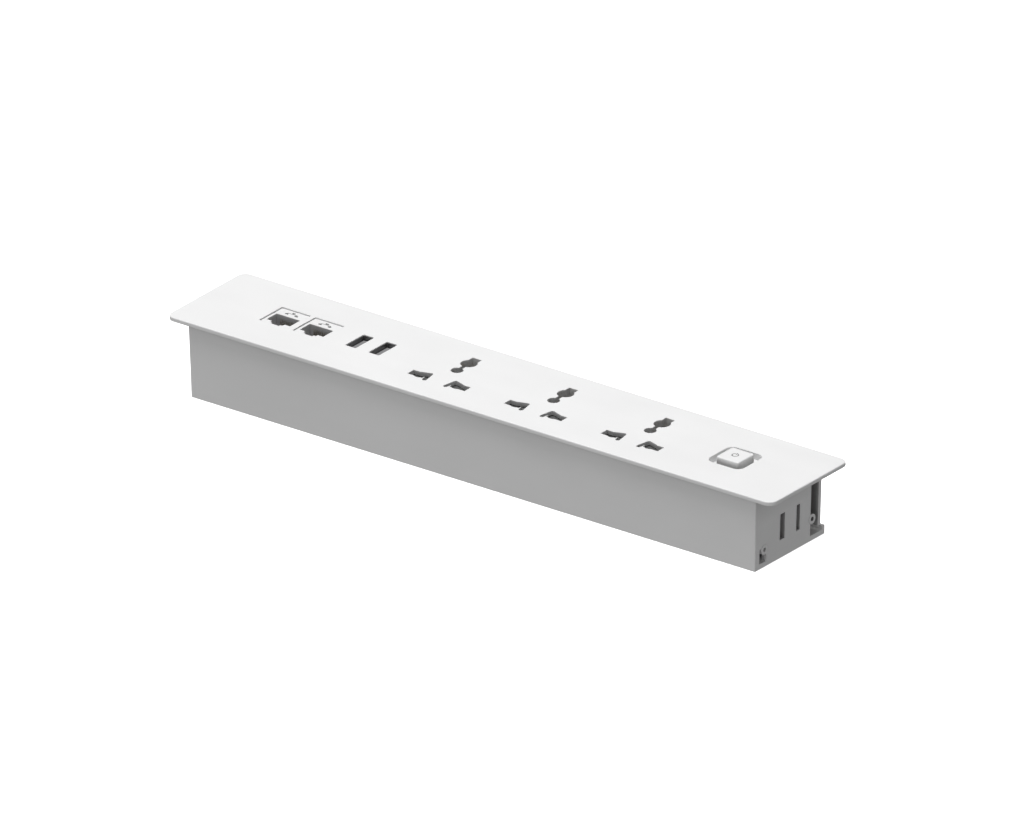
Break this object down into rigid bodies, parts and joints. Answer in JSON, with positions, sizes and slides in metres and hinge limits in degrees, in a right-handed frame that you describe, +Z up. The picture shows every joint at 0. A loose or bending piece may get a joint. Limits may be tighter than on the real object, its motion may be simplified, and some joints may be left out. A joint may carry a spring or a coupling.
{
  "type": "desk power strip",
  "caption": "Desk-recessed power and data strip: flanged cover over a shallow box, with shuttered universal sockets, USB charging ports, network jacks and a push-button.",
  "frame": {"origin": "centre of the strip's footprint on the plane of its underside", "axes": "+X along the strip towards the push-button, +Y to its back, +Z up through the cover"},
  "size_m": [0.31, 0.0536, 0.0364],
  "materials": {
    "casing": "fine satin moulded white",
    "tray": "fine satin moulded white",
    "cap": "smooth moulded white",
    "symbol_ink": "inlaid grey",
    "jack_plastic": "satin moulded white",
    "carrier_plastic": "satin moulded off-white",
    "shutter_plastic": "satin moulded white",
    "spring_steel": "drawn wire",
    "contact_brass": "stamped, slightly dulled",
    "gold_contact": "gold plated",
    "plated_shell": "nickel plated",
    "tongue_plastic": "moulded grey",
    "circuit_board": "solder mask",
    "ferrite": "sintered",
    "coil_tape": "yellow tape",
    "capacitor_can": "sleeved",
    "chip_plastic": "moulded black",
    "screw_steel": "zinc plated",
    "gland_nylon": "moulded light grey",
    "seal_rubber": "matt black",
    "block_nylon": "natural",
    "live_insulation": "brown",
    "neutral_insulation": "blue",
    "earth_insulation": "green and yellow"
  },
  "bodies": {
    "casing": {"board_capacitors": "capacitor_can", "board_chips": "chip_plastic", "board_screws": "screw_steel", "body_tray": "tray", "cable_gland": "gland_nylon", "carrier_screws": "screw_steel", "cover_screws": "screw_steel", "earth_busbar": "contact_brass", "earth_lead": "earth_insulation", "gland_nut": "gland_nylon", "gland_seal": "seal_rubber", "jack_body_1": "jack_plastic", "jack_body_2": "jack_plastic", "jack_contacts_1": "gold_contact", "jack_contacts_2": "gold_contact", "line_busbar": "contact_brass", "live_lead": "live_insulation", "neutral_busbar": "contact_brass", "neutral_lead": "neutral_insulation", "panel_screws": "screw_steel", "rear_panel": "tray", "return_spring": "spring_steel", "shutter_springs_1": "spring_steel", "shutter_springs_2": "spring_steel", "shutter_springs_3": "spring_steel", "socket_carrier_1": "carrier_plastic", "socket_carrier_2": "carrier_plastic", "socket_carrier_3": "carrier_plastic", "switch_housing": "carrier_plastic", "switch_screws": "screw_steel", "switch_terminals": "contact_brass", "switched_lead": "live_insulation", "terminal_block": "block_nylon", "terminal_clamps": "contact_brass", "terminal_screws": "screw_steel", "top_cover": "casing", "transformer_coil": "coil_tape", "transformer_core": "ferrite", "usb_board": "circuit_board", "usb_contacts_1": "gold_contact", "usb_contacts_2": "gold_contact", "usb_feed_leads": "neutral_insulation", "usb_shell_1": "plated_shell", "usb_shell_2": "plated_shell", "usb_tongue_1": "tongue_plastic", "usb_tongue_2": "tongue_plastic"},
    "button": {"button_cap": "cap", "power_symbol": "symbol_ink", "switch_plunger": "shutter_plastic", "contact_bridge": "contact_brass"},
    "shutter_slide_1": {"shutter_1": "shutter_plastic"},
    "shutter_slide_2": {"shutter_2": "shutter_plastic"},
    "shutter_slide_3": {"shutter_3": "shutter_plastic"}
  },
  "joints": [
    {"name": "button_press", "type": "slide", "parent": "casing", "child": "button", "axis": [0, 0, -1], "range_m": [0, 0.0022], "stiffness_N_per_m": 700, "springref_m": -0.0015, "deforming": ["return_spring"]},
    {"name": "shutter_1_open", "type": "slide", "parent": "casing", "child": "shutter_slide_1", "axis": [0, 1, 0], "range_m": [0, 0.008], "stiffness_N_per_m": 60, "springref_m": -0.003, "deforming": ["shutter_springs_1"]},
    {"name": "shutter_2_open", "type": "slide", "parent": "casing", "child": "shutter_slide_2", "axis": [0, 1, 0], "range_m": [0, 0.008], "stiffness_N_per_m": 60, "springref_m": -0.003, "deforming": ["shutter_springs_2"]},
    {"name": "shutter_3_open", "type": "slide", "parent": "casing", "child": "shutter_slide_3", "axis": [0, 1, 0], "range_m": [0, 0.008], "stiffness_N_per_m": 60, "springref_m": -0.003, "deforming": ["shutter_springs_3"]}
  ]
}
